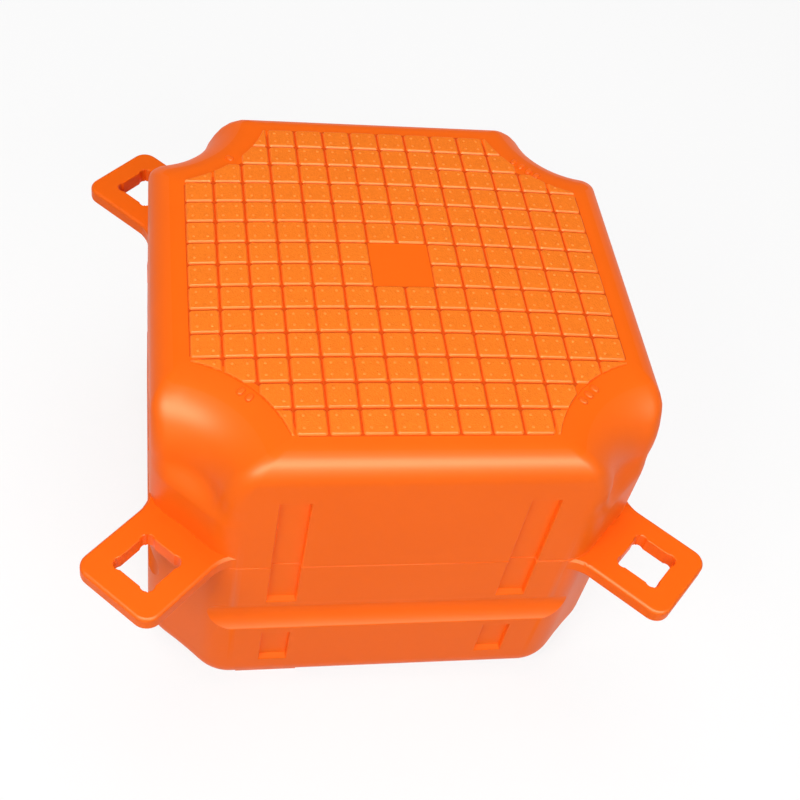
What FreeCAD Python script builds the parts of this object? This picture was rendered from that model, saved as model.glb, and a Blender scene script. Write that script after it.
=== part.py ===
import FreeCAD, Part
import os
from math import atan2, cos, pi, radians, sin, sqrt, tan

# A floating dock cube: one sealed plastic float with a tiled deck and four coupling lugs.
# Sizes are in millimetres. The origin is the middle of the underside, and Z is up.

# Overall sizes
PIN_PITCH = 500.0        # distance between the coupling pins of neighbouring cubes
SIDE_CLEARANCE = 2.0     # each side face stands this far inside the pitch square
HEIGHT = 400.0           # floor to the tops of the middle tiles

# Deck
TILE_HEIGHT = 2.2
TILE_PITCH = 30.35
TILE_FLANK = 0.5         # flank inset for each millimetre of height
GROOVE_WIDTH = 2.0       # at the groove's floor
DECK_BORDER = 35.0       # the tiles stay at least this far inside the side faces
BLANK_TILES = 2          # tiles left out along each side of the plain middle square
SMALLEST_TILE = 8.0      # a clipped tile with less than this left at its corner is left out
CROWN_RISE = 10.8        # middle of the deck above the square that the crown dies out on
CROWN_MARGIN = 20.0      # that square runs this far outside the pins
RIM_DROP = 7.7           # groove floor in the middle down to the deck's rim
RIM_SLOPE_RISE = 0.8     # the rim band climbs this much towards the tiles
RIM_SLOPE_WIDTH = 14.0
FIELD_GAP = 5.0          # between the end of a scoop's flare and the tiles
FIELD_MARGIN = 0.4       # the groove floor runs this far past the outer tiles
FIELD_DEPTH = 25.0       # the field is modelled this deep into the body

# Top edge, and the scooped corners round the pins
EDGE_RADIUS = 28.0
EDGE_STEPS = 6
SCOOP_RADIUS = 66.0      # upright wall of the scoop, measured from the pin axis
SCOOP_WALL = 4.0         # height of that wall, between the hump and the flare
SCOOP_FLARE = 60.0       # radius that flares the scoop out into the deck
FLARE_STEPS = 3
SCOOP_SHOULDER = 22.0    # rounding between the scoop and a side face
SHOULDER_END = 10.0      # the same rounding where it runs out on the deck

# Corners below the scoops
CORNER_DEPTH = 51.5      # pin axis to the flattened corner
CORNER_HOLLOW = 400.0    # the flattened corner is an arc about a point this far out
CORNER_ROUNDING = 48.0
HUMP_HEIGHT = 30.0       # the flattened corner eases back into the scoop over this height
HUMP_STEPS = 5
BASE_RADIUS = 38.0

# Side faces
PARTING_DEPTH = 169.0    # parting line below the tops of the middle tiles
WAIST_LEVEL = 137.7
WAIST_HEIGHT = 44.5
WAIST_DEPTH = 10.4
WAIST_UPPER_LIP = 4.0    # rounding where the waist meets the side face
WAIST_LOWER_LIP = 2.0
LIP_BITE = 0.04          # a lip starts this far inside the side face
BAR_WIDTH = 29.5
BAR_OFFSET = 118.5       # bar middle from the middle of the face
BAR_DEPTH = 5.0
BAR_LEDGE = 4.5          # height of the sloping end of a bar
BAR_DRAFT = 0.8          # each upright wall of a bar leans out this much
UPPER_BAR_DEPTH = 63.5   # top of the upper bars below the tops of the middle tiles
UPPER_BAR_GAP = 8.0      # between the waist and the upper bars
LOWER_BAR_GAP = 10.0
LOWER_BAR_LENGTH = 54.5

# Lugs, numbered from the highest: back left, front left, front right, back right
LUG_THICKNESS = 18.0
LUG_STEP = 20.0
LUG_HALF_WIDTH = 48.0
LUG_REACH = 48.5         # pin axis to the lug's outer end
LUG_TENON = 80.0         # pin axis to the lug's inner end, in the body and short of the bars
LUG_END_RADIUS = 16.0
LUG_ROOT_RADIUS = 35.0
LUG_ROOT_SINK = 0.6      # the root's curve runs out this far inside the side faces
LUG_EDGE = 2.6           # chamfer round a lug's rims
EYE_SIDE = 45.0
EYE_LOBE_RADIUS = 7.0
EYE_LOBE_OFFSET = 17.0
LUG_CORNERS = (135.0, 225.0, 315.0, 45.0)
OVERCUT = 1.0            # cutters run this far past what they cut

# Raised dots beside each corner, one for the highest lug and four for the lowest
DOT_WIDTH = 5.4
DOT_LENGTH = 8.8
DOT_CORNER = 1.8         # cut across each corner of a dot's outline
DOT_CHAMFER = 1.1
DOT_RISE = 1.5           # above the deck's rim
DOT_ROOT = 1.0
DOT_PITCH = 10.4
DOT_INSET = 3.5          # from the end of the scoop's flare

# Feet under each side
FOOT_WIDTH = 66.0
FOOT_OFFSET = -121.0
FOOT_SETBACK = 13.5
FOOT_LENGTH = 60.0
FOOT_ROUNDING = 2.0

PIN = PIN_PITCH / 2
HALF = PIN - SIDE_CLEARANCE
FLOOR_LEVEL = HEIGHT - TILE_HEIGHT
RIM_LEVEL = FLOOR_LEVEL - RIM_DROP
PARTING_LEVEL = HEIGHT - PARTING_DEPTH
EDGE_FOOT = RIM_LEVEL - EDGE_RADIUS
FLARE_FOOT = RIM_LEVEL - SCOOP_FLARE
FLARE_END = SCOOP_RADIUS + SCOOP_FLARE
HUMP_FOOT = FLARE_FOOT - SCOOP_WALL - HUMP_HEIGHT
CROWN_HALF = PIN + CROWN_MARGIN
TILE_COUNT = 2 * int((HALF - DECK_BORDER) / TILE_PITCH)
TILE_HALF = (TILE_PITCH - GROOVE_WIDTH) / 2
FIELD_HALF = (TILE_COUNT * TILE_PITCH - GROOVE_WIDTH) / 2 + FIELD_MARGIN
FIELD_CORNER_RADIUS = FLARE_END + FIELD_GAP
UP = FreeCAD.Vector(0, 0, 1)
ORIGIN = FreeCAD.Vector(0, 0, 0)
SQUARE = ((-1, -1), (1, -1), (1, 1), (-1, 1))


def quarter_turns(shape):
    copies = []
    for quarter in range(4):
        copy = shape.copy()
        copy.rotate(ORIGIN, UP, 90 * quarter)
        copies.append(copy)
    return copies


def closed_wire(points, arc_starts):
    """Closed wire through the points; each arc takes three of them, each line two."""
    loop = points + points[:1]
    edges = []
    index = 0
    while index < len(points):
        if index in arc_starts:
            edges.append(Part.Arc(*loop[index:index + 3]).toShape())
            index += 2
        else:
            edges.append(Part.LineSegment(*loop[index:index + 2]).toShape())
            index += 1
    return Part.Wire(edges)


def corner_points(inset, depth, hollow, rounding):
    """Half of one corner, measured inwards from the pin: side end, rounding, arc."""
    radius = depth + hollow
    centre = hollow / sqrt(2)
    along = sqrt((radius + rounding) ** 2 - (inset + rounding + centre) ** 2) - centre
    ball = (inset + rounding, along)
    share = rounding / (radius + rounding)
    joint = (ball[0] - share * (ball[0] + centre), ball[1] - share * (ball[1] + centre))
    turn = (pi + atan2(joint[1] - ball[1], joint[0] - ball[0]) + 2 * pi) / 2
    middle = (ball[0] + rounding * cos(turn), ball[1] + rounding * sin(turn))
    deepest = (depth / sqrt(2), depth / sqrt(2))
    return [(inset, along), middle, joint, deepest]


def outline(level, inset, depth, hollow, rounding):
    """The body's level outline: four straight sides and four scooped corners."""
    half = corner_points(inset, depth, hollow, rounding)
    chain = half + [(v, u) for u, v in reversed(half[:-1])]
    corner = [FreeCAD.Vector(PIN - u, PIN - v, level) for u, v in chain]
    points = []
    arc_starts = []
    for quarter in range(4):
        turn = FreeCAD.Rotation(UP, 90 * quarter)
        arc_starts += [len(points), len(points) + 2, len(points) + 4]
        points += [turn.multVec(point) for point in corner]
    return closed_wire(points, arc_starts)


def side_inset(level):
    """Inset of the side faces, which the top edge radius turns into the deck."""
    above = min(EDGE_RADIUS, max(0.0, level - EDGE_FOOT))
    return SIDE_CLEARANCE + EDGE_RADIUS - sqrt(EDGE_RADIUS ** 2 - above ** 2)


def scoop_section(level):
    """Depth, hollow and rounding of a corner where it is scooped out."""
    above = min(SCOOP_FLARE, max(0.0, level - FLARE_FOOT))
    depth = FLARE_END - sqrt(SCOOP_FLARE ** 2 - above ** 2)
    share = max(0.0, level - EDGE_FOOT) / EDGE_RADIUS
    return depth, 0.0, SCOOP_SHOULDER + (SHOULDER_END - SCOOP_SHOULDER) * share


def hump_section(share):
    """The same for the hump, from the flattened corner (0) to the scoop (1)."""
    ease = (1 - cos(pi * share)) / 2
    depth = CORNER_DEPTH + (SCOOP_RADIUS - CORNER_DEPTH) * ease
    bend = (1 - ease) / (CORNER_DEPTH + CORNER_HOLLOW) + ease / SCOOP_RADIUS
    rounding = CORNER_ROUNDING + (SCOOP_SHOULDER - CORNER_ROUNDING) * ease
    return depth, 1 / bend - depth, rounding


def lower_body():
    """The straight part of the body, rounded all round its underside."""
    base = Part.Face(outline(0, SIDE_CLEARANCE, CORNER_DEPTH, CORNER_HOLLOW, CORNER_ROUNDING))
    solid = base.extrude(UP * HUMP_FOOT)
    edges = [edge for edge in solid.Edges if edge.BoundBox.ZMax < BASE_RADIUS]
    return solid.makeFillet(BASE_RADIUS, edges)


def upper_body():
    """Loft from the flattened corners, over the hump, up the scoops and over the edge."""
    sections = []
    for step in range(HUMP_STEPS + 1):
        share = step / HUMP_STEPS
        sections.append((HUMP_FOOT + HUMP_HEIGHT * share, SIDE_CLEARANCE) + hump_section(share))
    levels = []
    for step in range(FLARE_STEPS):
        levels.append(FLARE_FOOT + (EDGE_FOOT - FLARE_FOOT) * step / FLARE_STEPS)
    for step in range(EDGE_STEPS + 1):
        levels.append(EDGE_FOOT + EDGE_RADIUS * sin(pi / 2 * step / EDGE_STEPS))
    for level in levels:
        sections.append((level, side_inset(level)) + scoop_section(level))
    inset = SIDE_CLEARANCE + EDGE_RADIUS + RIM_SLOPE_WIDTH
    depth = FLARE_END + RIM_SLOPE_WIDTH
    sections.append((RIM_LEVEL + RIM_SLOPE_RISE, inset, depth, 0.0, SHOULDER_END))
    wires = [outline(*section) for section in sections]
    return Part.makeLoft(wires, True, True)


def crown(x, y):
    """Height of the groove floor over a point of the deck."""
    fall = (1 - (x / CROWN_HALF) ** 2) * (1 - (y / CROWN_HALF) ** 2)
    return FLOOR_LEVEL - CROWN_RISE * (1 - fall)


def crown_normal(x, y):
    slope_x = -2 * CROWN_RISE * x / CROWN_HALF ** 2 * (1 - (y / CROWN_HALF) ** 2)
    slope_y = -2 * CROWN_RISE * y / CROWN_HALF ** 2 * (1 - (x / CROWN_HALF) ** 2)
    return FreeCAD.Vector(-slope_x, -slope_y, 1)


def facet(*points):
    return Part.Face(Part.makePolygon(list(points) + [points[0]]))


def tile_square(x, y, half, rise):
    """Corners of a square that lies along the crown, this high above it."""
    along = FreeCAD.Rotation(UP, crown_normal(x, y))
    middle = FreeCAD.Vector(x, y, crown(x, y))
    return [middle + along.multVec(FreeCAD.Vector(a * half, b * half, rise)) for a, b in SQUARE]


def cell(x, y, tiled):
    """One square of the deck: the groove floor with its tile, or the bare floor."""
    half = TILE_PITCH / 2
    places = [(x + a * half, y + b * half) for a, b in SQUARE]
    edge = [FreeCAD.Vector(u, v, crown(u, v)) for u, v in places]
    if not tiled:
        middle = FreeCAD.Vector(x, y, crown(x, y))
        return [facet(edge[side - 1], edge[side], middle) for side in range(4)]
    foot = tile_square(x, y, TILE_HALF, 0.0)
    top = tile_square(x, y, TILE_HALF - TILE_FLANK * TILE_HEIGHT, TILE_HEIGHT)
    faces = [facet(*top)]
    for side in range(4):
        faces.append(facet(edge[side - 1], edge[side], foot[side]))
        faces.append(facet(edge[side - 1], foot[side], foot[side - 1]))
        faces.append(facet(foot[side - 1], foot[side], top[side], top[side - 1]))
    return faces


def deck_cells():
    """All cells of the deck: bare in the middle and where a corner's arc leaves a sliver."""
    middle = (TILE_COUNT - 1) / 2
    faces = []
    for row in range(TILE_COUNT):
        for column in range(TILE_COUNT):
            x = (column - middle) * TILE_PITCH
            y = (row - middle) * TILE_PITCH
            blank = max(abs(row - middle), abs(column - middle)) < BLANK_TILES / 2
            reach = sqrt((PIN - abs(x) + TILE_HALF) ** 2 + (PIN - abs(y) + TILE_HALF) ** 2)
            sliver = reach < FIELD_CORNER_RADIUS + SMALLEST_TILE
            faces += cell(x, y, not blank and not sliver)
    return faces


def tile_field():
    """The tiled deck as a block under the cells, clipped round the four pins."""
    half = TILE_COUNT * TILE_PITCH / 2
    bottom = FLOOR_LEVEL - 2 * FIELD_DEPTH
    places = [(step - TILE_COUNT / 2) * TILE_PITCH for step in range(TILE_COUNT + 1)]
    rim = [FreeCAD.Vector(x, -half, crown(x, -half)) for x in places]
    feet = [FreeCAD.Vector(half, -half, bottom), FreeCAD.Vector(-half, -half, bottom)]
    skirt = quarter_turns(facet(*rim, *feet))
    underside = Part.makePlane(2 * half, 2 * half, feet[1])
    sheet = Part.makeSolid(Part.makeShell(deck_cells() + skirt + [underside]))
    low_corner = FreeCAD.Vector(-FIELD_HALF, -FIELD_HALF, FLOOR_LEVEL - FIELD_DEPTH)
    block = Part.makeBox(2 * FIELD_HALF, 2 * FIELD_HALF, 2 * FIELD_DEPTH, low_corner)
    round_pin = FreeCAD.Vector(PIN, PIN, bottom)
    cutter = Part.makeCylinder(FIELD_CORNER_RADIUS, 4 * FIELD_DEPTH, round_pin)
    return block.cut(quarter_turns(cutter)).common(sheet)


def lug_outline(level):
    """Outline of a lug along +X, with the pin axis at the origin."""
    side = LUG_HALF_WIDTH
    end = LUG_END_RADIUS
    bend = LUG_ROOT_RADIUS
    half_turn = radians(45) / 2
    meet = -(SIDE_CLEARANCE + LUG_ROOT_SINK) * sqrt(2) - side
    tangent = bend * tan(half_turn)
    arrive = (meet - tangent / sqrt(2), side + tangent / sqrt(2))
    leave = (meet + tangent, side)
    middle = (leave[0] - bend * sin(half_turn), side + bend * (1 - cos(half_turn)))
    turn = (LUG_REACH - end * (1 - cos(pi / 4)), side - end * (1 - sin(pi / 4)))
    half = [(-LUG_TENON, arrive[1] + arrive[0] + LUG_TENON), arrive, middle, leave]
    half += [(LUG_REACH - end, side), turn, (LUG_REACH, side - end)]
    whole = half + [(x, -y) for x, y in reversed(half)]
    points = [FreeCAD.Vector(x, y, level) for x, y in whole]
    return closed_wire(points, (1, 4, 7, 10))


def eye(bottom):
    """The square eye of a lug, with a round lobe in each corner."""
    tall = LUG_THICKNESS + 2 * OVERCUT
    half = EYE_SIDE / 2
    low = bottom - OVERCUT
    square = Part.makeBox(EYE_SIDE, EYE_SIDE, tall, FreeCAD.Vector(-half, -half, low))
    place = FreeCAD.Vector(EYE_LOBE_OFFSET, EYE_LOBE_OFFSET, low)
    lobe = Part.makeCylinder(EYE_LOBE_RADIUS, tall, place)
    return square.fuse(quarter_turns(lobe))


def lug(number):
    """A lug with chamfered rims, at its own level and corner."""
    top = PARTING_LEVEL + (3 - 2 * number) * LUG_STEP / 2 + LUG_THICKNESS / 2
    bottom = top - LUG_THICKNESS
    plate = Part.Face(lug_outline(bottom)).extrude(UP * LUG_THICKNESS)
    level = [edge for edge in plate.Edges if edge.BoundBox.ZLength < LUG_EDGE]
    rims = [edge for edge in level if edge.BoundBox.XMin > LUG_EDGE - LUG_TENON]
    solid = plate.makeChamfer(LUG_EDGE, rims).cut(eye(bottom))
    solid.translate(FreeCAD.Vector(PIN * sqrt(2), 0, 0))
    solid.rotate(ORIGIN, UP, LUG_CORNERS[number])
    return solid


def waist_cutter():
    """Bar with a round back and rounded lips that cuts the waist across one side."""
    radius = ((WAIST_HEIGHT / 2) ** 2 + WAIST_DEPTH ** 2) / (2 * WAIST_DEPTH)
    centre = HALF + radius - WAIST_DEPTH
    lips = []
    for sign, lip in ((1, WAIST_UPPER_LIP), (-1, WAIST_LOWER_LIP)):
        across = HALF + LIP_BITE - lip
        reach = centre - across
        rise = sqrt((radius + lip) ** 2 - reach ** 2)
        share = lip / (radius + lip)
        turn = atan2(rise, reach) / 2 + pi / 4
        start = (across + lip, WAIST_LEVEL + sign * rise)
        middle = (across + lip * sin(turn), WAIST_LEVEL + sign * (rise - lip * cos(turn)))
        joint = (across + share * reach, WAIST_LEVEL + sign * rise * (1 - share))
        lips.append([start, middle, joint])
    upper, lower = lips
    profile = upper + [(HALF - WAIST_DEPTH, WAIST_LEVEL)] + lower[::-1]
    profile += [(lower[0][0] + OVERCUT, lower[0][1]), (upper[0][0] + OVERCUT, upper[0][1])]
    points = [FreeCAD.Vector(-PIN_PITCH, y, z) for y, z in profile]
    face = Part.Face(closed_wire(points, (0, 2, 4)))
    return face.extrude(FreeCAD.Vector(2 * PIN_PITCH, 0, 0))


def bar_cutter(low, high, offset):
    """Shallow upright recess in one side, with leaning walls and a sloping lower end."""
    wires = []
    for share in (-1, 1):
        left = offset - BAR_WIDTH / 2 + share * BAR_DRAFT
        right = offset + BAR_WIDTH / 2 - share * BAR_DRAFT
        foot = low + share * BAR_LEDGE
        head = high - share * BAR_DRAFT
        places = [(left, foot), (right, foot), (right, head), (left, head), (left, foot)]
        y = HALF - share * BAR_DEPTH
        wires.append(Part.makePolygon([FreeCAD.Vector(x, y, z) for x, z in places]))
    return Part.makeLoft(wires, True, True)


def side_cutters():
    upper_foot = WAIST_LEVEL + WAIST_HEIGHT / 2 + UPPER_BAR_GAP
    lower_top = WAIST_LEVEL - WAIST_HEIGHT / 2 - LOWER_BAR_GAP
    cutters = [waist_cutter()]
    for offset in (-BAR_OFFSET, BAR_OFFSET):
        cutters.append(bar_cutter(upper_foot, HEIGHT - UPPER_BAR_DEPTH, offset))
        cutters.append(bar_cutter(lower_top - LOWER_BAR_LENGTH, lower_top, offset))
    return cutters


def foot():
    """Flat foot near one end of the front underside."""
    place = FreeCAD.Vector(FOOT_OFFSET - FOOT_WIDTH / 2, -HALF + FOOT_SETBACK, 0)
    block = Part.makeBox(FOOT_WIDTH, FOOT_LENGTH, BASE_RADIUS / 2, place)
    front = [edge for edge in block.Edges if edge.BoundBox.YMax < place.y + FOOT_ROUNDING]
    low = [edge for edge in front if edge.BoundBox.ZMax < FOOT_ROUNDING]
    return block.makeFillet(FOOT_ROUNDING, low)


def level_dots(number):
    """Raised dots on the scoop's lip: one more for each level down."""
    x = DOT_LENGTH / 2
    y = DOT_WIDTH / 2
    quarter = [(x, y - DOT_CORNER), (x - DOT_CORNER, y)]
    half = quarter + [(-u, v) for u, v in reversed(quarter)]
    whole = half + [(-u, -v) for u, v in half]
    outline_wire = closed_wire([FreeCAD.Vector(u, v, -DOT_ROOT) for u, v in whole], ())
    dot = Part.Face(outline_wire).extrude(UP * (DOT_ROOT + DOT_RISE))
    dot = dot.makeChamfer(DOT_CHAMFER, [edge for edge in dot.Edges if edge.BoundBox.ZMin > 0])
    outwards = PIN * sqrt(2) - FLARE_END + DOT_INSET
    dots = []
    for index in range(number + 1):
        copy = dot.copy()
        across = (index - number / 2) * DOT_PITCH
        copy.translate(FreeCAD.Vector(outwards, across, RIM_LEVEL))
        copy.rotate(ORIGIN, UP, LUG_CORNERS[number])
        dots.append(copy)
    return dots


def float_body():
    cutters = []
    for cutter in side_cutters():
        cutters += quarter_turns(cutter)
    added = quarter_turns(foot())
    for number in range(4):
        added.append(lug(number))
        added += level_dots(number)
    body = lower_body().fuse(upper_body()).cut(cutters)
    return body.fuse(added).fuse(tile_field())


os.makedirs("parts", exist_ok=True)
cube = float_body()
print("valid", cube.isValid(), "solids", len(cube.Solids), "faces", len(cube.Faces))
print("volume in litres", cube.Volume / 1e6)
cube.Solids[0].exportStep("parts/float_body.step")
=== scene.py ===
from math import cos, radians, sin

import bpy
from mathutils import Matrix, Quaternion, Vector


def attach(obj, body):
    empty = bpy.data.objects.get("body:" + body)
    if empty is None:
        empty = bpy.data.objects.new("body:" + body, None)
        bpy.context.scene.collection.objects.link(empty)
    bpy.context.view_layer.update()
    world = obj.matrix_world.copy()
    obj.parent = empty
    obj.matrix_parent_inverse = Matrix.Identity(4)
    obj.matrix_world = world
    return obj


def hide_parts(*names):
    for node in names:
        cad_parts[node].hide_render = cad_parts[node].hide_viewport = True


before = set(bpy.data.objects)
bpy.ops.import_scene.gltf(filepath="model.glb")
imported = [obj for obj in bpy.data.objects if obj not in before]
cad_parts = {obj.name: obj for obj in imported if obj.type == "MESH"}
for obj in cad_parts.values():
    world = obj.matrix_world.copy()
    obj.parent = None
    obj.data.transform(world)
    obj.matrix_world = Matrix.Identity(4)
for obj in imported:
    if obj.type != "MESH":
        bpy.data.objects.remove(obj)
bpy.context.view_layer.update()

# The float body is one hollow shell of orange polyethylene, blown in a two-part mould.
# Deck, scoops, lugs, waist and recessed bars are all one skin. Here the mould's rounding
# is put on the body's sharp edges: the treads, the lugs with their eyes, and the bars.
MERGE_GAP = 0.00001
FLAT_ANGLE = radians(0.4)

bpy.ops.object.select_all(action="DESELECT")
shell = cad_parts["float_body"].copy()
shell.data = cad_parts["float_body"].data.copy()
shell.name = "float_shell"
shell.data.name = "float_shell"
shell.parent = None
for key in list(shell.keys()):
    del shell[key]
bpy.context.scene.collection.objects.link(shell)
bpy.context.view_layer.objects.active = shell
shell.select_set(True)
bpy.ops.object.mode_set(mode="EDIT")
bpy.ops.mesh.select_mode(type="EDGE")
bpy.ops.mesh.select_all(action="SELECT")
bpy.ops.mesh.customdata_custom_splitnormals_clear()
bpy.ops.mesh.remove_doubles(threshold=MERGE_GAP)
bpy.ops.mesh.dissolve_limited(angle_limit=FLAT_ANGLE)
bpy.ops.object.mode_set(mode="OBJECT")
plain_skin = shell.data.copy()
bpy.ops.object.mode_set(mode="EDIT")

# The deck is crowned, and its treads stand on the crown with sloping flanks. A tread's
# corners are rounded, and then the rim of its top, but not where an arc has clipped it.
CROWN_HALF = 0.270
CROWN_RISE = 0.0108
GROOVE_LEVEL = 0.3978
TREAD_PITCH = 0.03035
TREAD_COUNT = 14
TREAD_HEIGHT = 0.0022
TREAD_FOOT = 0.014175
TREAD_TOP = 0.013075
TREAD_CORNER_ROUND = 0.0026
TREAD_RIM_ROUND = 0.0009
SHARP_ANGLE = radians(20)
SHORT_RIM = 0.005
NEAR = 0.0004


def pick_edges(piece, wanted):
    """Select the sharp edges of a piece that the test wants, for the next edit operator."""
    bpy.ops.mesh.select_all(action="DESELECT")
    bpy.ops.mesh.edges_select_sharp(sharpness=SHARP_ANGLE)
    bpy.ops.object.mode_set(mode="OBJECT")
    picked = [edge.index for edge in piece.data.edges if edge.select and wanted(edge)]
    for elements in (piece.data.vertices, piece.data.edges, piece.data.polygons):
        elements.foreach_set("select", [False] * len(elements))
    for index in picked:
        piece.data.edges[index].select = True
    bpy.ops.object.mode_set(mode="EDIT")


def ends(edge):
    return [shell.data.vertices[index].co for index in edge.vertices]


def length(edge):
    low, high = ends(edge)
    return (high - low).length


def crown(x, y):
    fall = (1 - (x / CROWN_HALF) ** 2) * (1 - (y / CROWN_HALF) ** 2)
    return GROOVE_LEVEL - CROWN_RISE * (1 - fall)


def above_crown(point):
    return point.z - crown(point.x, point.y)


def from_tread_corner(point, half):
    """How far a point stands from the nearest corner of an unclipped tread."""
    gaps = []
    for place in (point.x, point.y):
        middle = round(place / TREAD_PITCH - 0.5) + 0.5
        gaps.append(abs(abs(place / TREAD_PITCH - middle) * TREAD_PITCH - half))
    return max(gaps)


def tread_rim(edge):
    return min(above_crown(point) for point in ends(edge)) > TREAD_HEIGHT - NEAR / 2


def short_rim_ends():
    """The tread-top vertices that touch a short rim, where an arc clips a corner away."""
    found = set()
    for edge in shell.data.edges:
        if tread_rim(edge) and length(edge) < SHORT_RIM:
            found.update(edge.vertices)
    return found


def tread_corner(edge):
    low, high = sorted(ends(edge), key=above_crown)
    if high.z - low.z < TREAD_HEIGHT / 2 or from_tread_corner(high, TREAD_TOP) > NEAR:
        return False
    return from_tread_corner(low, TREAD_FOOT) < NEAR and not clipped.intersection(edge.vertices)


clipped = short_rim_ends()
pick_edges(shell, tread_corner)
bpy.ops.mesh.bevel(offset=TREAD_CORNER_ROUND, segments=3, clamp_overlap=False)
pick_edges(shell, tread_rim)
bpy.ops.mesh.bevel(offset=TREAD_RIM_ROUND, segments=2, clamp_overlap=False)

# The four lugs are moulded in one with the body, at four levels. Each has a chamfered rim
# and a square eye with a lobe in each corner, and the mould leaves all these edges soft.
HALF_WIDTH = 0.248
LUG_TOPS = (0.270, 0.250, 0.230, 0.210)
LUG_THICKNESS = 0.018
LUG_EDGE = 0.0026
LUG_DROPS = (0, LUG_EDGE, LUG_THICKNESS - LUG_EDGE, LUG_THICKNESS)
LUG_LEVELS = [top - drop for top in LUG_TOPS for drop in LUG_DROPS]
LUG_CLEAR = 0.004
LUG_ROUND = 0.0012
EYE_PLACE = 0.250
EYE_REACH = 0.031
EYE_ROUND = 0.0015


def from_eye(point):
    """How far a point stands, seen from above, from the middle of its corner's eye."""
    return Vector((abs(point.x) - EYE_PLACE, abs(point.y) - EYE_PLACE)).length


def eye_rim(edge):
    """A level edge of an eye, inside the lug's own rims."""
    low, high = ends(edge)
    if abs(low.z - high.z) > MERGE_GAP:
        return False
    return from_eye(low) < EYE_REACH and from_eye(high) < EYE_REACH


def lug_rim(edge):
    """A level edge of the chamfer round a lug, clear of the body's side faces."""
    low, high = ends(edge)
    if abs(low.z - high.z) > MERGE_GAP or eye_rim(edge):
        return False
    if min(max(abs(p.x), abs(p.y)) for p in (low, high)) < HALF_WIDTH + LUG_CLEAR:
        return False
    return min(abs(low.z - level) for level in LUG_LEVELS) < NEAR


pick_edges(shell, eye_rim)
bpy.ops.mesh.bevel(offset=EYE_ROUND, segments=3, clamp_overlap=False)
pick_edges(shell, lug_rim)
bpy.ops.mesh.bevel(offset=LUG_ROUND, segments=2, clamp_overlap=False)

# The recessed bars stiffen the side faces, above and below the waist. Each is a shallow
# pocket in the skin with a sloping ledge at its foot, and its outline is rounded.
BAR_OFFSET = 0.1185
BAR_REACH = 0.0170
BAR_DEPTH = 0.005
BAR_ROUND = 0.0010
LEDGE_FEET = (0.1680, 0.0510)
LEDGE_HEIGHT = 0.0045
LEDGE_SLOPES = (0.3, 0.9)
WAIST_EDGES = (0.160, 0.1155)
WAIST_NEAR = 0.006
SMOOTH_ANGLE = radians(30)


def on_waist_edge(point):
    return any(abs(point.z - level) < WAIST_NEAR for level in WAIST_EDGES)


def bar_rim(edge):
    """An edge where a recessed bar meets its side face."""
    low, high = ends(edge)
    if length(edge) < SHORT_RIM / 2 or on_waist_edge(low) or on_waist_edge(high):
        return False
    for face, along in ((0, 1), (1, 0)):
        if all(abs(abs(p[face]) - HALF_WIDTH) < NEAR / 4 for p in (low, high)):
            if all(abs(abs(p[along]) - BAR_OFFSET) < BAR_REACH for p in (low, high)):
                return True
    return False


def bar_ledge(face):
    """The sloping ledge at the foot of a recessed bar."""
    middle = face.center
    if not LEDGE_SLOPES[0] < face.normal.z < LEDGE_SLOPES[1]:
        return False
    if not any(foot - NEAR < middle.z < foot + LEDGE_HEIGHT + NEAR for foot in LEDGE_FEET):
        return False
    across, along = sorted((abs(middle.x), abs(middle.y)))
    return along > HALF_WIDTH - BAR_DEPTH - NEAR and abs(across - BAR_OFFSET) < BAR_REACH


pick_edges(shell, bar_rim)
bpy.ops.mesh.bevel(offset=BAR_ROUND, segments=3, clamp_overlap=False)
bpy.ops.object.mode_set(mode="OBJECT")
bpy.ops.object.shade_smooth_by_angle(angle=SMOOTH_ANGLE)
even = shell.modifiers.new("even_normals", "WEIGHTED_NORMAL")
even.keep_sharp = True
bpy.ops.object.modifier_apply(modifier="even_normals")

# Orange polyethylene, coloured through: a faint drift of colour, a half gloss and the
# orange-peel grain of the mould. The tread tops come from a rougher, etched mould, and
# their flanks get the same paler colour as a painted highlight. The ledges are matt, and
# the groove floors are darkened with painted shade.
PLASTIC = (0.93, 0.138, 0.004, 1.0)
PLASTIC_DEEP = (0.88, 0.124, 0.003, 1.0)
ETCHED = (0.98, 0.225, 0.020, 1.0)
ETCHED_DEEP = (0.82, 0.165, 0.013, 1.0)
# Painted shade: the darker colour that the groove floors take, for the shade between the
# treads.
GROOVE_PAINTED_SHADE = (0.68, 0.070, 0.003, 1.0)
SHEEN_TINT = (1.0, 0.84, 0.56, 1.0)
GLOSS_SPREAD = 0.04
DRIFT_DETAIL = 3.0
GRAIN_DETAIL = 2.0
BROAD_PATCH = 0.11
FINE_PATCH = 0.003
PEEL_SIZE = 0.0016
PEEL_DEPTH = 0.00004
ETCH_SIZE = 0.0014
ETCH_DEPTH = 0.00060
LEVEL_FACE = 0.95
FIELD_HALF = TREAD_COUNT / 2 * TREAD_PITCH
BLANK_HALF = TREAD_PITCH
ARC_RADIUS = 0.131
PAINTED_SHADE_GAP = 0.006


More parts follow.
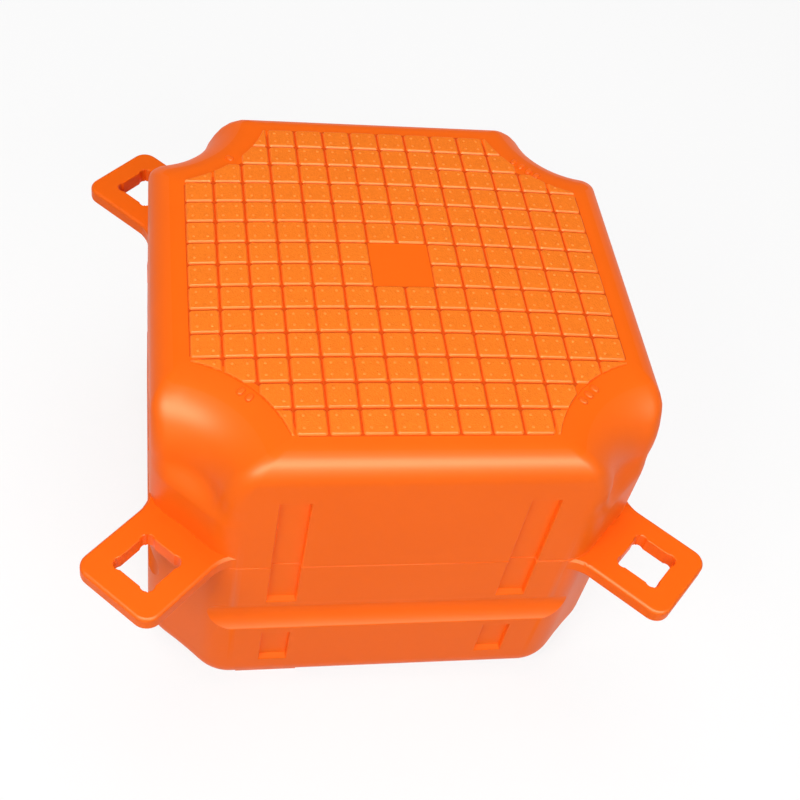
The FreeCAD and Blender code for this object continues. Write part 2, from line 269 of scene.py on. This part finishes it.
def polyethylene(name, colours, patch_size, sheen, gloss, grain_size, grain_depth):
    """Moulded plastic: colour drifts over patches, and one grain drives gloss and bump."""
    material = bpy.data.materials.new(name)
    material.use_nodes = True
    nodes = material.node_tree.nodes
    links = material.node_tree.links
    shader = nodes["Principled BSDF"]
    shader.inputs["Specular IOR Level"].default_value = sheen
    shader.inputs["Specular Tint"].default_value = SHEEN_TINT
    place = nodes.new("ShaderNodeTexCoord")
    drift = nodes.new("ShaderNodeTexNoise")
    drift.inputs["Scale"].default_value = 1 / patch_size
    drift.inputs["Detail"].default_value = DRIFT_DETAIL
    blend = nodes.new("ShaderNodeMix")
    blend.data_type = "RGBA"
    blend.inputs["A"].default_value, blend.inputs["B"].default_value = colours
    shine = nodes.new("ShaderNodeMapRange")
    shine.inputs["To Min"].default_value = gloss - GLOSS_SPREAD
    shine.inputs["To Max"].default_value = gloss + GLOSS_SPREAD
    grain = nodes.new("ShaderNodeTexNoise")
    grain.inputs["Scale"].default_value = 1 / grain_size
    grain.inputs["Detail"].default_value = GRAIN_DETAIL
    bump = nodes.new("ShaderNodeBump")
    bump.inputs["Strength"].default_value = 1.0
    bump.inputs["Distance"].default_value = grain_depth
    links.new(place.outputs["Object"], drift.inputs["Vector"])
    links.new(place.outputs["Object"], grain.inputs["Vector"])
    links.new(drift.outputs["Fac"], blend.inputs["Factor"])
    links.new(blend.outputs["Result"], shader.inputs["Base Color"])
    links.new(grain.outputs["Fac"], shine.inputs["Value"])
    links.new(shine.outputs["Result"], shader.inputs["Roughness"])
    links.new(grain.outputs["Fac"], bump.inputs["Height"])
    links.new(bump.outputs["Normal"], shader.inputs["Normal"])
    return material


def paint_groove_shade(material):
    """Paint shade between the treads: deepen the colour there, but not on the blank square or
    past the arcs.
    """
    nodes = material.node_tree.nodes
    links = material.node_tree.links
    colour = nodes["Principled BSDF"].inputs["Base Color"]
    unshaded = colour.links[0].from_socket
    place = nodes.new("ShaderNodeTexCoord")
    plan = nodes.new("ShaderNodeVectorMath")
    plan.operation = "MULTIPLY"
    plan.inputs[1].default_value = (1, 1, 0)
    quarter = nodes.new("ShaderNodeVectorMath")
    quarter.operation = "ABSOLUTE"
    split = nodes.new("ShaderNodeSeparateXYZ")
    reach = nodes.new("ShaderNodeMath")
    reach.operation = "MAXIMUM"
    eye_distance = nodes.new("ShaderNodeVectorMath")
    eye_distance.operation = "DISTANCE"
    eye_distance.inputs[1].default_value = (EYE_PLACE, EYE_PLACE, 0)
    links.new(place.outputs["Object"], plan.inputs[0])
    links.new(plan.outputs["Vector"], quarter.inputs[0])
    links.new(quarter.outputs["Vector"], split.inputs["Vector"])
    links.new(split.outputs["X"], reach.inputs[0])
    links.new(split.outputs["Y"], reach.inputs[1])
    links.new(quarter.outputs["Vector"], eye_distance.inputs[0])
    shaded_here = None
    for source, operation, limit in (
            (reach, "LESS_THAN", FIELD_HALF),
            (reach, "GREATER_THAN", BLANK_HALF),
            (eye_distance, "GREATER_THAN", ARC_RADIUS + PAINTED_SHADE_GAP)):
        test = nodes.new("ShaderNodeMath")
        test.operation = operation
        test.inputs[1].default_value = limit
        links.new(source.outputs["Value"], test.inputs[0])
        if shaded_here is None:
            shaded_here = test.outputs["Value"]
        else:
            both = nodes.new("ShaderNodeMath")
            both.operation = "MULTIPLY"
            links.new(shaded_here, both.inputs[0])
            links.new(test.outputs["Value"], both.inputs[1])
            shaded_here = both.outputs["Value"]
    shade_mix = nodes.new("ShaderNodeMix")
    shade_mix.data_type = "RGBA"
    shade_mix.inputs["B"].default_value = GROOVE_PAINTED_SHADE
    links.new(shaded_here, shade_mix.inputs["Factor"])
    links.new(unshaded, shade_mix.inputs["A"])
    links.new(shade_mix.outputs["Result"], colour)


smooth_orange = polyethylene(
    "smooth_orange", (PLASTIC_DEEP, PLASTIC), patch_size=BROAD_PATCH, sheen=0.12, gloss=0.42,
    grain_size=PEEL_SIZE, grain_depth=PEEL_DEPTH)
etched_orange = polyethylene(
    "etched_orange", (ETCHED_DEEP, ETCHED), patch_size=FINE_PATCH, sheen=0.02, gloss=0.55,
    grain_size=ETCH_SIZE, grain_depth=ETCH_DEPTH)
groove_orange = polyethylene(
    "groove_orange", (PLASTIC_DEEP, PLASTIC), patch_size=BROAD_PATCH, sheen=0.05, gloss=0.50,
    grain_size=PEEL_SIZE, grain_depth=PEEL_DEPTH)
ledge_orange = polyethylene(
    "ledge_orange", (PLASTIC_DEEP, PLASTIC), patch_size=BROAD_PATCH, sheen=0.03, gloss=0.60,
    grain_size=PEEL_SIZE, grain_depth=PEEL_DEPTH)
# Painted highlight: the flanks take the paler tread colour, for the bright lines of light along
# them.
flank_painted_highlight = polyethylene(
    "flank_painted_highlight", (ETCHED_DEEP, ETCHED), patch_size=BROAD_PATCH, sheen=0.14, gloss=0.42,
    grain_size=PEEL_SIZE, grain_depth=PEEL_DEPTH)
# The groove floors in the field are darkened as painted shade.
paint_groove_shade(groove_orange)
finishes = [smooth_orange, etched_orange, groove_orange, ledge_orange, flank_painted_highlight]


def finish_of(face):
    """Which finish the mould gives a face of the shell."""
    middle = face.center
    height = above_crown(middle)
    if face.normal.z > LEVEL_FACE:
        return etched_orange if height > TREAD_HEIGHT - NEAR else groove_orange
    # The tread flanks get the paler colour that paints their highlight.
    if height > NEAR and max(abs(middle.x), abs(middle.y)) < FIELD_HALF:
        return flank_painted_highlight
    return ledge_orange if bar_ledge(face) else smooth_orange


shell.data.materials.clear()
for finish in finishes:
    shell.data.materials.append(finish)
for face in shell.data.polygons:
    face.material_index = finishes.index(finish_of(face))
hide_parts("float_body")
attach(shell, "root")

# Four small pips stand on every tread, for grip. The mould's skin makes them, so they are
# the same polyethylene, coloured lighter as a painted highlight. A pip that the corner's
# arc would cut is left out.
PIP_RADIUS = 0.0015
PIP_HEIGHT = 0.0011
PIP_SINK = 0.0006
PIP_PLACE = 0.007
PIP_SIDES = 8
# Painted highlight: both pip colours are lighter than the plastic, for the glint on each pip.
PIP_PAINTED_HIGHLIGHT = (1.0, 0.29, 0.045, 1.0)
PIP_PAINTED_HIGHLIGHT_DEEP = (0.97, 0.24, 0.030, 1.0)
ARC_GAP = 0.003

bpy.ops.object.select_all(action="DESELECT")
bpy.ops.mesh.primitive_cylinder_add(
    vertices=PIP_SIDES, radius=PIP_RADIUS, depth=PIP_HEIGHT,
    location=(0, 0, PIP_HEIGHT / 2 - PIP_SINK))
pip = bpy.context.active_object
bpy.ops.object.transform_apply(location=True, rotation=True, scale=True)
bpy.ops.object.mode_set(mode="EDIT")
bpy.ops.mesh.select_mode(type="EDGE")


def pip_rim(edge):
    return all(pip.data.vertices[index].co.z > 0 for index in edge.vertices)


pick_edges(pip, pip_rim)
bpy.ops.mesh.bevel(offset=PIP_HEIGHT - PIP_SINK, segments=2)
bpy.ops.object.mode_set(mode="OBJECT")
bpy.ops.object.shade_smooth()
pip.data.materials.append(polyethylene(
    "pip_painted_highlight", (PIP_PAINTED_HIGHLIGHT_DEEP, PIP_PAINTED_HIGHLIGHT), patch_size=FINE_PATCH, sheen=0.06, gloss=0.42,
    grain_size=PEEL_SIZE, grain_depth=PEEL_DEPTH))


def deck_lean(x, y):
    """How the deck's normal leans from upright at a point of the crown."""
    slope_x = -2 * CROWN_RISE * x / CROWN_HALF ** 2 * (1 - (y / CROWN_HALF) ** 2)
    slope_y = -2 * CROWN_RISE * y / CROWN_HALF ** 2 * (1 - (x / CROWN_HALF) ** 2)
    return Vector((0, 0, 1)).rotation_difference(Vector((-slope_x, -slope_y, 1)))


def pip_places():
    places = []
    middles = [(step - (TREAD_COUNT - 1) / 2) * TREAD_PITCH for step in range(TREAD_COUNT)]
    for x in middles:
        for y in middles:
            if max(abs(x), abs(y)) < BLANK_HALF:
                continue
            lean = deck_lean(x, y)
            for a in (-PIP_PLACE, PIP_PLACE):
                for b in (-PIP_PLACE, PIP_PLACE):
                    spot = Vector((x, y, crown(x, y))) + lean @ Vector((a, b, TREAD_HEIGHT))
                    if from_eye(spot) > ARC_RADIUS + ARC_GAP:
                        places.append(Matrix.Translation(spot) @ lean.to_matrix().to_4x4())
    return places


def spread(piece, places, name):
    """Put a copy of a finished piece at each place, join them, and drop the first one."""
    bpy.ops.object.select_all(action="DESELECT")
    for place in places:
        copy = piece.copy()
        copy.data = piece.data.copy()
        copy.data.transform(place)
        bpy.context.scene.collection.objects.link(copy)
        copy.select_set(True)
    bpy.data.objects.remove(piece)
    bpy.context.view_layer.objects.active = copy
    bpy.ops.object.join()
    copy.name = name
    copy.data.name = name
    return copy


tread_pips = spread(pip, pip_places(), "tread_pips")
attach(tread_pips, "root")

# The parting line is the fine bead of polyethylene that the closed mould leaves all round
# the body, half way up. It runs on through the recessed bars.
PARTING_LEVEL = 0.231
BEAD_RADIUS = 0.00055

bpy.ops.object.select_all(action="DESELECT")
bead = bpy.data.objects.new("parting_bead", plain_skin)
bpy.context.scene.collection.objects.link(bead)
bpy.context.view_layer.objects.active = bead
bead.select_set(True)
bpy.ops.object.mode_set(mode="EDIT")
bpy.ops.mesh.select_all(action="SELECT")
bpy.ops.mesh.bisect(
    plane_co=(0, 0, PARTING_LEVEL), plane_no=(0, 0, 1), clear_inner=True, clear_outer=True)
bpy.ops.object.mode_set(mode="OBJECT")
bpy.ops.object.convert(target="CURVE")
bead.data.bevel_depth = BEAD_RADIUS
bead.data.bevel_resolution = 1
bpy.ops.object.convert(target="MESH")
bead.data.materials.clear()
bead.data.materials.append(smooth_orange)
bpy.ops.object.shade_smooth()
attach(bead, "root")

# Raised dots beside each scoop tell the fitter how low that corner's lug sits: one dot for
# the highest lug, four for the lowest. Each is a smooth domed pill of the same skin.
DOT_RADIUS = 0.0031
DOT_STRETCH = 0.0017
DOT_RISE = 0.0017
DOT_ROOT = 0.0010
DOT_ROUND = 0.0017
DOT_SIDES = 16
DOT_PITCH = 0.0104
DOT_REACH = 0.23105
RIM_LEVEL = 0.3901
DOT_CORNERS = (135, 225, 315, 45)

bpy.ops.object.select_all(action="DESELECT")
bpy.ops.mesh.primitive_cylinder_add(
    vertices=DOT_SIDES, radius=DOT_RADIUS, depth=DOT_ROOT + DOT_RISE,
    location=(0, 0, (DOT_RISE - DOT_ROOT) / 2))
dot = bpy.context.active_object
bpy.ops.object.transform_apply(location=True, rotation=True, scale=True)
for vertex in dot.data.vertices:
    if abs(vertex.co.x) > MERGE_GAP:
        vertex.co.x += DOT_STRETCH if vertex.co.x > 0 else -DOT_STRETCH
bpy.ops.object.mode_set(mode="EDIT")
bpy.ops.mesh.select_mode(type="EDGE")


def dot_rim(edge):
    return all(dot.data.vertices[index].co.z > 0 for index in edge.vertices)


pick_edges(dot, dot_rim)
bpy.ops.mesh.bevel(offset=DOT_ROUND, segments=6)
bpy.ops.object.mode_set(mode="OBJECT")
bpy.ops.object.shade_smooth()
dot.data.materials.append(smooth_orange)


def dot_places():
    places = []
    for number, corner in enumerate(DOT_CORNERS):
        turn = Matrix.Rotation(radians(corner), 4, "Z")
        for index in range(number + 1):
            across = (index - number / 2) * DOT_PITCH
            places.append(turn @ Matrix.Translation((DOT_REACH, across, RIM_LEVEL)))
    return places


level_dots = spread(dot, dot_places(), "level_dots")
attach(level_dots, "root")

# The floor is a plain white sweep under the part. Seen by the camera or in a gloss it is
# mostly its own white, and the rest is real light, so that the part's shadow stays.
FLOOR_SIZE = 30
FLOOR_OWN_WHITE = 0.82
FLOOR_SEEN = (0.95, 0.95, 0.95, 1)
FLOOR_PAINT = (0.50, 0.50, 0.50, 1)
FLOOR_ROUGHNESS = 0.9
WHITE = (1, 1, 1, 1)

bpy.ops.object.select_all(action="DESELECT")
bpy.ops.mesh.primitive_plane_add(size=FLOOR_SIZE, location=(0, 0, 0))
floor = bpy.context.active_object
floor.name = "floor"


def seen_directly(nodes, links):
    """1 for what the camera sees, straight or in a gloss or a glass, and 0 for other light."""
    path = nodes.new("ShaderNodeLightPath")
    either = nodes.new("ShaderNodeMath")
    either.operation = "MAXIMUM"
    any_of = nodes.new("ShaderNodeMath")
    any_of.operation = "MAXIMUM"
    links.new(path.outputs["Is Camera Ray"], either.inputs[0])
    links.new(path.outputs["Is Glossy Ray"], either.inputs[1])
    links.new(either.outputs["Value"], any_of.inputs[0])
    links.new(path.outputs["Is Transmission Ray"], any_of.inputs[1])
    return any_of.outputs["Value"]


white_floor = bpy.data.materials.new("white_floor")
white_floor.use_nodes = True
nodes = white_floor.node_tree.nodes
links = white_floor.node_tree.links
paint = nodes["Principled BSDF"]
paint.inputs["Roughness"].default_value = FLOOR_ROUGHNESS
paint.inputs["Specular IOR Level"].default_value = 0.0
tone = nodes.new("ShaderNodeMix")
tone.data_type = "RGBA"
tone.inputs["A"].default_value = FLOOR_PAINT
tone.inputs["B"].default_value = FLOOR_SEEN
glow = nodes.new("ShaderNodeEmission")
glow.inputs["Color"].default_value = WHITE
share = nodes.new("ShaderNodeMath")
share.operation = "MULTIPLY"
share.inputs[1].default_value = FLOOR_OWN_WHITE
mix = nodes.new("ShaderNodeMixShader")
seen = seen_directly(nodes, links)
links.new(seen, tone.inputs["Factor"])
links.new(tone.outputs["Result"], paint.inputs["Base Color"])
links.new(seen, share.inputs[0])
links.new(share.outputs["Value"], mix.inputs["Fac"])
links.new(paint.outputs["BSDF"], mix.inputs[1])
links.new(glow.outputs["Emission"], mix.inputs[2])
links.new(mix.outputs["Shader"], nodes["Material Output"].inputs["Surface"])
floor.data.materials.append(white_floor)

# Soft studio light: an even white room, a wide softbox in front, a small one at the left
# and a large one overhead. Two cards in front light the gloss alone, for the long bright
# bands along the rounded edges.
ROOM_LIGHT = 0.22
SOFTBOX_AIM = (0, -0.1, 0.36)

world = bpy.data.worlds.new("room")
bpy.context.scene.world = world
world.use_nodes = True
nodes = world.node_tree.nodes
links = world.node_tree.links
room = nodes["Background"]
room.inputs["Color"].default_value = WHITE
level = nodes.new("ShaderNodeMapRange")
level.inputs["To Min"].default_value = ROOM_LIGHT
level.inputs["To Max"].default_value = 1.0
links.new(seen_directly(nodes, links), level.inputs["Value"])
links.new(level.outputs["Result"], room.inputs["Strength"])


def softbox(name, azimuth, height, distance, wide, tall, power):
    """A softbox aimed at the cube: azimuth is from the front towards +X, height is its rise."""
    turn = radians(azimuth)
    rise = radians(height)
    away = Vector((sin(turn) * cos(rise), -cos(turn) * cos(rise), sin(rise)))
    data = bpy.data.lights.new(name, "AREA")
    data.shape = "RECTANGLE"
    data.size = wide
    data.size_y = tall
    data.energy = power
    lamp = bpy.data.objects.new(name, data)
    lamp.location = Vector(SOFTBOX_AIM) + away * distance
    lamp.rotation_mode = "QUATERNION"
    lamp.rotation_quaternion = (-away).to_track_quat("-Z", "Y")
    bpy.context.scene.collection.objects.link(lamp)
    return lamp


softbox("front_softbox", azimuth=14, height=32, distance=2.4, wide=2.4, tall=0.9, power=31)
softbox("left_softbox", azimuth=-50, height=35, distance=2.4, wide=1.0, tall=1.2, power=26)
softbox("top_softbox", azimuth=170, height=72, distance=3.0, wide=2.4, tall=2.4, power=48)
high_card = softbox(
    "high_card", azimuth=-8, height=49, distance=2.4, wide=4.4, tall=1.0, power=740)
low_card = softbox(
    "low_card", azimuth=-8, height=20, distance=2.4, wide=4.4, tall=1.45, power=110)
for card in (high_card, low_card):
    card.visible_diffuse = False

# The camera looks down on the front of the deck from its left, as the photograph does.
# It is held rolled a little, so that the deck's far edge leans.
CAMERA_PLACE = (-0.2577, -0.9126, 1.2895)
CAMERA_AIM = (0.0290, -0.0110, 0.1980)
CAMERA_ROLL = radians(13.5)
CAMERA_LENS = 58.0

view = bpy.data.cameras.new("camera")
view.lens = CAMERA_LENS
camera = bpy.data.objects.new("camera", view)
camera.location = CAMERA_PLACE
camera.rotation_mode = "QUATERNION"
sight = Vector(CAMERA_AIM) - Vector(CAMERA_PLACE)
camera.rotation_quaternion = sight.to_track_quat("-Z", "Y") @ Quaternion((0, 0, 1), CAMERA_ROLL)
bpy.context.scene.collection.objects.link(camera)
bpy.context.scene.camera = camera
bpy.context.scene.view_settings.view_transform = "Standard"
